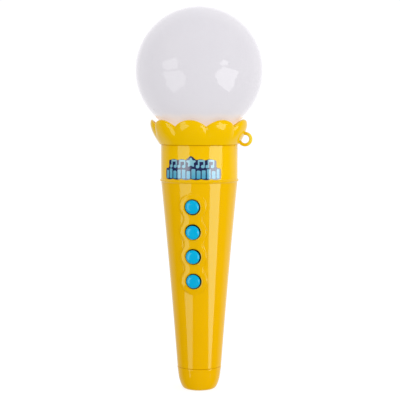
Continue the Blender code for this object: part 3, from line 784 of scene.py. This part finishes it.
neck_angle = -math.degrees(math.acos(SPIGOT / GLOBE_RADIUS))
bore = SPIGOT - GLOBE_WALL
bore_angle = -math.degrees(math.acos(bore / (GLOBE_RADIUS - GLOBE_WALL)))
section = [(0, GLOBE_MIDDLE + GLOBE_RADIUS)] + ball(GLOBE_RADIUS, 88, neck_angle, 78)
section += [(SPIGOT, 141.0), (16.2, 140.75), (16.4, 140.4), (16.4, 140.0), (16.2, 139.6), (SPIGOT, 139.2)]
section += [(SPIGOT, globe_low.z / MM), (bore, globe_low.z / MM)]
section += ball(GLOBE_RADIUS - GLOBE_WALL, bore_angle, 86, 40)
section += [(0, GLOBE_MIDDLE + GLOBE_RADIUS - GLOBE_WALL)]
globe = turned("globe_ball", section, segments=160)


def milky_plastic():
    """Pale translucent plastic with a painted glow that stands in for light let through it, warmer near the
    petals; faint flow clouds and tiny dark specks.
    """
    made, start = new_material("milky_plastic")
    place = start.node("ShaderNodeTexCoord", out=3)
    clouds = place.noise(26, 3)
    ripple = place.noise(1500, 2) * 0.2 + place.noise(150, 2)
    cells = start.node("ShaderNodeTexVoronoi", None, {"Vector": place, "Scale": 60.0})
    specks = 1 - cells.step(0.018, 0.03)
    # Painted light: the glow is warmer near the petals, where it fills the shade of the cup.
    glow_near_petals = 1 - place.along(2).step(0.144, 0.153)
    base = (clouds.step(0.3, 0.7) * 0.5).tint(colour(161, 159, 163), colour(157, 155, 160))
    base = (specks * 0.35).tint(base, colour(110, 106, 100))
    return surfaced(made, start, {
        "Base Color": base,
        "Roughness": 0.03 + clouds * 0.008 + specks * 0.2,
        "Normal": ripple.bump(0.2, 0.012),
        "IOR": 1.43,
        "Subsurface Weight": 0.2,
        "Subsurface Scale": 0.003,
        "Subsurface Radius": (1.0, 1.0, 1.0),
        # The emission is painted light that stands in for light let through the ball.
        "Emission Color": (glow_near_petals * 0.9).tint(base, colour(196, 184, 176)),
        "Emission Strength": 1.16,
    })


globe.data.materials.append(milky_plastic())
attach(globe, "housing")
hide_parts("globe")

# The four buttons: low domes of sky-blue plastic, each on a soft rubber dome that it presses on the board.

BUTTON_RADIUS, BUTTON_TOP, BUTTON_DROP = 3.75, 2.25, 0.95
blue = plastic("blue_plastic", colour(0, 174, 222), colour(0, 180, 226), 0.1)
# Painted shade: the skirt below each button's rim, seen down the gap, is coloured dark blue-green.
painted_shade_skirt_blue = plastic("painted_shade_skirt_blue", colour(2, 52, 62), colour(4, 66, 74), 0.4)
rim = BUTTON_RADIUS - 0.05
steps = np.linspace(0.12, 1, 20).tolist()
button_section = [(0, BUTTON_TOP)] + [(rim * t, BUTTON_TOP - BUTTON_DROP * t**6) for t in steps]
shoulder = button_section[-1][1]
button_section += [(BUTTON_RADIUS, shoulder - 0.1), (BUTTON_RADIUS, -2.75), (5.1, -2.75), (5.1, -3.5)]
button_section += [(2.6, -3.5), (2.6, -5.0), (0, -5.0)]
for i in range(BUTTONS):
    node = f"button_{i + 1}"
    button = turned(f"song_button_{i + 1}", button_section, blue, segments=56)
    button.data.materials.append(painted_shade_skirt_blue)
    # Faces below the shoulder take the painted shade.
    for face in button.data.polygons:
        if face.center.z / MM < shoulder - 0.1:
            face.material_index = 1
    out = -slide[f"{node}_press"]
    stem = node_middle(node)
    top = max((Vector(v.co) / MM - stem).dot(out) for v in frame["nodes"][node].data.vertices)
    button.data.transform(out.to_track_quat("Z", "Y").to_matrix().to_4x4())
    button.data.transform(Matrix.Translation((stem + out * (top - BUTTON_TOP)) * MM))
    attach(button, node)
    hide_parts(node)

# The rubber domes under the buttons and the boards: matt silicone, a green printed circuit with copper
# tracks under its lacquer, a black resin blob over the sound chip, and one small screw.

PAD_PITCH = 3.1


def soft_finish(name, first, second, roughness, scale=200, depth=0.02):
    """A matt or satin finish: mottled colour and roughness, with a grain that can be felt."""
    made, start = new_material(name)
    place = start.node("ShaderNodeTexCoord", out=3)
    mottle = place.noise(scale, 4)
    return surfaced(made, start, {
        "Base Color": mottle.step(0.3, 0.7).tint(first, second),
        "Roughness": roughness + (mottle - 0.5) * 0.2,
        "Normal": place.noise(scale * 6, 3).bump(0.6, depth),
    })


def circuit_board():
    """Green lacquer over copper: straight tracks with gaps, tinned pads on a grid, glass cloth grain."""
    made, start = new_material("circuit_board")
    place = start.node("ShaderNodeTexCoord", out=3)
    x, z = place.along(0) / MM, place.along(2) / MM
    patch = place.noise(210, 2)
    lanes = abs((x * 0.62).math("FRACT") - 0.5)
    tracks = (1 - lanes.step(0.16, 0.2)) * patch.step(0.46, 0.5)
    pad_x = (x / PAD_PITCH).math("FRACT") - 0.5
    pad_z = (z / PAD_PITCH).math("FRACT") - 0.5
    pads = 1 - (pad_x * pad_x + pad_z * pad_z).step(0.028, 0.04)
    pads = pads * (1 - patch.step(0.42, 0.44))
    weave = start.node("ShaderNodeTexWave", None, {"Vector": place, "Scale": 900.0, "Distortion": 1.5})
    base = tracks.tint(colour(18, 92, 52), colour(40, 128, 66))
    return surfaced(made, start, {
        "Base Color": pads.tint(base, colour(196, 190, 172)),
        "Roughness": 0.34 + weave * 0.1,
        "Metallic": pads * 0.8,
        "Normal": (tracks * 0.6 + pads + weave * 0.1).bump(0.8, 0.04),
    })


def dressed(finish, *nodes):
    """Gives CAD nodes that stay as they are their real finish."""
    for node in nodes:
        mesh = frame["nodes"][node].data
        mesh.materials.clear()
        mesh.materials.append(finish)


rubber = soft_finish("clear_rubber", colour(222, 220, 212), colour(205, 204, 198), 0.6)
dressed(rubber, *[f"rubber_dome_{i + 1}" for i in range(BUTTONS)])
dressed(circuit_board(), "main_board", "led_board")
resin = soft_finish("black_resin", colour(26, 26, 28), colour(36, 36, 38), 0.3, 320, 0.03)
dressed(resin, "sound_chip")
dressed(zinc, "board_screw")

# The three lamps under the globe: clear-tinted epoxy, red, green and blue, on tinned legs.

for name, tint in (("red_lens", (214, 60, 54)), ("green_lens", (64, 186, 92)), ("blue_lens", (66, 110, 214))):
    pale = tuple(min(255, c + 34) for c in tint)
    lens = plastic(name, colour(*tint), colour(*pale), 0.1, constants={"Transmission Weight": 0.35})
    dressed(lens, "led_" + name.split("_")[0])

# The speaker: a pressed steel basket, a black paper cone with pressed rings, and a nickelled magnet.
# It faces the sound holes in the back.

basket = metal("speaker_steel", colour(186, 188, 190), colour(160, 163, 168), 0.36, 180)
dressed(basket, "speaker_frame")
magnet = metal("magnet_nickel", colour(200, 198, 190), colour(176, 174, 168), 0.28, 140)
dressed(magnet, "speaker_magnet")


def pressed_paper():
    """Black felted paper with pressed rings about the speaker's middle and stray pale fibres."""
    made, start = new_material("black_paper")
    place = start.node("ShaderNodeTexCoord", out=3)
    x, up = place.along(0) / MM, place.along(2) / MM - SPEAKER_HEIGHT
    rings = ((x * x + up * up) ** 0.5 * 4.2).math("SINE")
    fibres = place.noise(1700, 5)
    return surfaced(made, start, {
        "Base Color": fibres.step(0.55, 0.75).tint(colour(34, 33, 32), colour(70, 68, 64)),
        "Roughness": 0.8 + fibres * 0.15,
        "Normal": (rings * 0.5 + fibres).bump(0.8, 0.06),
    })


dressed(pressed_paper(), "speaker_cone")

# The batteries: two small cells in a black tray, their contacts of nickelled spring steel.


def cell_label():
    """A shrunk-on sleeve: dark body, a plain copper-coloured band at one end, bare metal at the poles."""
    made, start = new_material("cell_label")
    place = start.node("ShaderNodeTexCoord", out=3)
    x, z = place.along(0) / MM, place.along(2) / MM
    right = x.step(-0.05, 0.05)
    low, high = (corner.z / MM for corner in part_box("cell_1"))
    twin_low, twin_high = (corner.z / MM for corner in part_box("cell_2"))
    along = (1 - right) * ((z - low) / (high - low))
    along = along + right * ((twin_high - z) / (twin_high - twin_low))
    band = along.step(0.74, 0.745)
    poles = 1 - along.step(0.006, 0.008) * (1 - along.step(0.965, 0.968))
    wear = place.noise(400, 4)
    base = band.tint(colour(38, 40, 48), colour(186, 116, 62))
    base = (wear.step(0.6, 0.8) * 0.2).tint(base, colour(150, 150, 150))
    return surfaced(made, start, {
        "Base Color": poles.tint(base, colour(205, 203, 196)),
        "Roughness": 0.3 + (wear - 0.5) * 0.2,
        "Metallic": poles.most(band * 0.6),
        "Normal": wear.bump(0.3, 0.02),
    })


dressed(cell_label(), "cell_1", "cell_2")
tray = soft_finish("tray_plastic", colour(30, 30, 31), colour(42, 42, 43), 0.48, 260, 0.03)
dressed(tray, "battery_tray")
spring_steel = metal("contact_nickel", colour(208, 204, 192), colour(186, 182, 170), 0.3, 300)
dressed(spring_steel, "bridge_contact", "top_contact_1", "top_contact_2", "cell_spring_1", "cell_spring_2")

# The leads: thin stranded wire in soft red and black insulation, soldered between the boards, the cells
# and the speaker.

for name, first, second in (
    ("black_insulation", (30, 30, 32), (44, 44, 46)),
    ("red_insulation", (176, 24, 22), (196, 36, 30)),
):
    sleeve = soft_finish(name, colour(*first), colour(*second), 0.42, 300, 0.02)
    number = 1 if name.startswith("black") else 2
    dressed(sleeve, *[f"{kind}_lead_{number}" for kind in ("battery", "speaker", "led")])

# The battery cover: the missing piece of the back's skin, with a tab for its screw, so that a child
# can't open it. Three shallow grooves near its foot give the thumb a hold.


def thumb_grooves(x, z, radius):
    depth = 0.0
    for k in range(3):
        groove = np.exp(-(((z - 29.0 - 3.0 * k) / 0.55) ** 2)) * smooth(6.2 - abs(x), 0, 1.0)
        depth = depth - 0.35 * groove
    return depth


cover_heights = spread(foot_rows, (foot_rows[1], 27, 14), (27, 38, 50), (38, 90, 52), (90, NECK_TOP, 10))
cover = half_shell("battery_door", 1, cover_heights, back_angles, thumb_grooves)
cover = cut(cover, [prism(cover_outline(0), 2.9, 40)], "INTERSECT")
cover = cut(cover, [rod(2.5, (0, 14.2, COVER_SCREW_HEIGHT), (0, 30, COVER_SCREW_HEIGHT))])
pad_foot = LEDGE_DEPTH + 0.3
pad_section = [(1.3, pad_foot), (3.6, pad_foot), (3.6, None), (2.5, None), (2.5, 14.2), (1.3, 14.2)]
cover = joined("battery_door", [cover, post(0, COVER_SCREW_HEIGHT, 1, pad_section)])
cover.data.materials.append(yellow)
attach(cover, "battery_cover")
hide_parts("battery_cover")
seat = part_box("battery_cover_screw")[1].y / MM - HEAD_HEIGHT
cover_screw = cross_screw("cover_cross_screw", 0, seat, COVER_SCREW_HEIGHT, 5.0)
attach(cover_screw, "battery_cover")
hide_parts("battery_cover_screw")

# The badge: a printed foil sticker, cut along a two-row scalloped outline and pressed on the neck.
# Its print is plain ornament: a star between two pairs of music notes, over a row of level bars.

BADGE_LOW, BADGE_STEP, BADGE_HIGH, BADGE_PEAK = 116.5, 122.6, 127.5, 129.1
LOWER_HALF, UPPER_HALF = 16.4, 13.6
BADGE_SHIFT = -0.6
BAR_PITCH, NOTE_PITCH = 2.72, 5.2
STICKER_INSIDE, STICKER_OUTSIDE = 0.02, 0.16


def badge_edge():
    """The sticker's outline as (arc, height) points, clockwise from the lower left."""
    lower, right, top = [], [], []
    for i in range(73):
        scallop = 0.5 - 0.5 * abs(math.sin(math.pi * i / 12))
        lower.append((-LOWER_HALF + 2 * LOWER_HALF * i / 72, BADGE_LOW + scallop))
    for t in (0.25, 0.5, 0.75, 1.0):
        swell = 0.25 * math.sin(math.pi * t)
        right.append((LOWER_HALF + swell, BADGE_LOW + 0.5 + (BADGE_STEP - BADGE_LOW - 1.0) * t))
    right += [(LOWER_HALF - 0.5, BADGE_STEP), (UPPER_HALF + 0.9, BADGE_STEP + 0.1)]
    right += [(UPPER_HALF + 0.2, BADGE_STEP + 0.8), (UPPER_HALF + 0.2, BADGE_HIGH - 1.2)]
    right += [(UPPER_HALF - 0.2, BADGE_HIGH - 0.5)]
    for i in range(49):
        arc = (UPPER_HALF - 0.9) * (1 - 2 * i / 48)
        wave = BADGE_HIGH - 0.55 + 0.55 * abs(math.cos(math.pi * arc / 5.1))
        peak = BADGE_PEAK - max(0, abs(arc) - 0.5) * 0.85
        top.append((arc, max(wave, peak)))
    return lower + right + top + [(-arc, z) for arc, z in reversed(right)]


def badge_print():
    """Navy foil with pale notes, star and bars. Arc and height come from the sticker's own place."""
    made, start = new_material("printed_sticker")
    place = start.node("ShaderNodeTexCoord", out=3)
    x, y, z = (place.along(k) / MM for k in range(3))
    arc = x.math("ARCTAN2", y * -1) * NECK_RADIUS - BADGE_SHIFT

    def box(across, up, half_width, half_height, corner=0.3):
        """How far a point lies outside a rounded box."""
        dx = (abs(across) - (half_width - corner)).most(0)
        dz = (abs(up) - (half_height - corner)).most(0)
        return (dx * dx + dz * dz) ** 0.5 - corner

    cell = (arc / BAR_PITCH + 100).math("FLOOR")
    local = (arc / BAR_PITCH + 100 - cell - 0.5) * BAR_PITCH
    half_height = 2.3 + (cell * 2.4).math("SINE") * 0.3
    dz = (abs(z - (BADGE_LOW + 0.7) - half_height) - half_height + 0.5).most(0)
    dx = (abs(local) - 0.52).most(0)
    bars = (dx * dx + dz * dz) ** 0.5 - 0.5
    bars = bars.most(abs(arc) - (LOWER_HALF - 0.8))

    pair = ((arc / NOTE_PITCH + 100.5).math("FRACT") - 0.5) * NOTE_PITCH
    sway = z - (BADGE_STEP + 2.5)
    stem = box(abs(pair - 0.35) - 1.45, sway - 0.2, 0.36, 1.75)
    head_x, head_z = (abs(pair + 0.3) - 1.45) / 1.2, sway + 1.45
    head = (head_x * head_x + head_z * head_z) ** 0.5 - 0.85
    beam = box(pair - 0.35, sway - 1.6, 1.8, 0.5)
    notes = stem.least(head).least(beam).most(2.7 - abs(arc)).most(abs(arc) - 12.9)
    star_z = z - (BADGE_STEP + 3.2)
    reach = (arc * arc + star_z * star_z) ** 0.5
    points = (arc.math("ARCTAN2", star_z) * 5).math("COSINE")
    star = reach * (1 - points * 0.26) - 1.95
    ink = 1 - bars.least(notes).least(star).step(-0.08, 0.1)

    mottle = place.noise(300, 3)
    pale = z.step(BADGE_LOW, BADGE_PEAK).tint(colour(78, 172, 206), colour(150, 205, 218))
    pale = (mottle.step(0.4, 0.7) * 0.35).tint(pale, colour(120, 196, 214))
    navy = mottle.tint(colour(30, 38, 84), colour(38, 50, 100))
    return surfaced(made, start, {
        "Base Color": ink.tint(navy, pale),
        "Roughness": 0.1 + mottle * 0.06,
        "IOR": 2.2,
        "Normal": (ink + mottle).bump(0.4, 0.02),
    })


def neck_sheet(name):
    """A thin curved sheet that lies on the neck, a little larger than the sticker."""
    points, faces = [], []
    arcs = np.linspace(-LOWER_HALF - 1.4, LOWER_HALF + 1.4, 120)
    for radius in (NECK_RADIUS + STICKER_INSIDE, NECK_RADIUS + STICKER_OUTSIDE):
        for z in (BADGE_LOW - 0.6, BADGE_PEAK + 0.6):
            for arc in arcs:
                a = (arc + BADGE_SHIFT) / NECK_RADIUS
                points.append((radius * math.sin(a), -radius * math.cos(a), z))
    n = len(arcs)
    for j in range(n - 1):
        faces += [(j, j + 1, n + j + 1, n + j), (2 * n + j, 2 * n + j + 1, 3 * n + j + 1, 3 * n + j)]
        faces += [(j, j + 1, 2 * n + j + 1, 2 * n + j), (n + j, n + j + 1, 3 * n + j + 1, 3 * n + j)]
    faces += [(0, n, 3 * n, 2 * n), (n - 1, 2 * n - 1, 4 * n - 1, 3 * n - 1)]
    return moulded(name, points, faces)


flat_outline = []
for arc, z in badge_edge():
    a = (arc + BADGE_SHIFT) / NECK_RADIUS
    flat_outline.append(((NECK_RADIUS + 0.1) * math.sin(a), z))
badge = cut(neck_sheet("badge_sticker"), [prism(flat_outline, -30, -8)], "INTERSECT")
badge.data.materials.append(badge_print())
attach(badge, "housing")
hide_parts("badge")
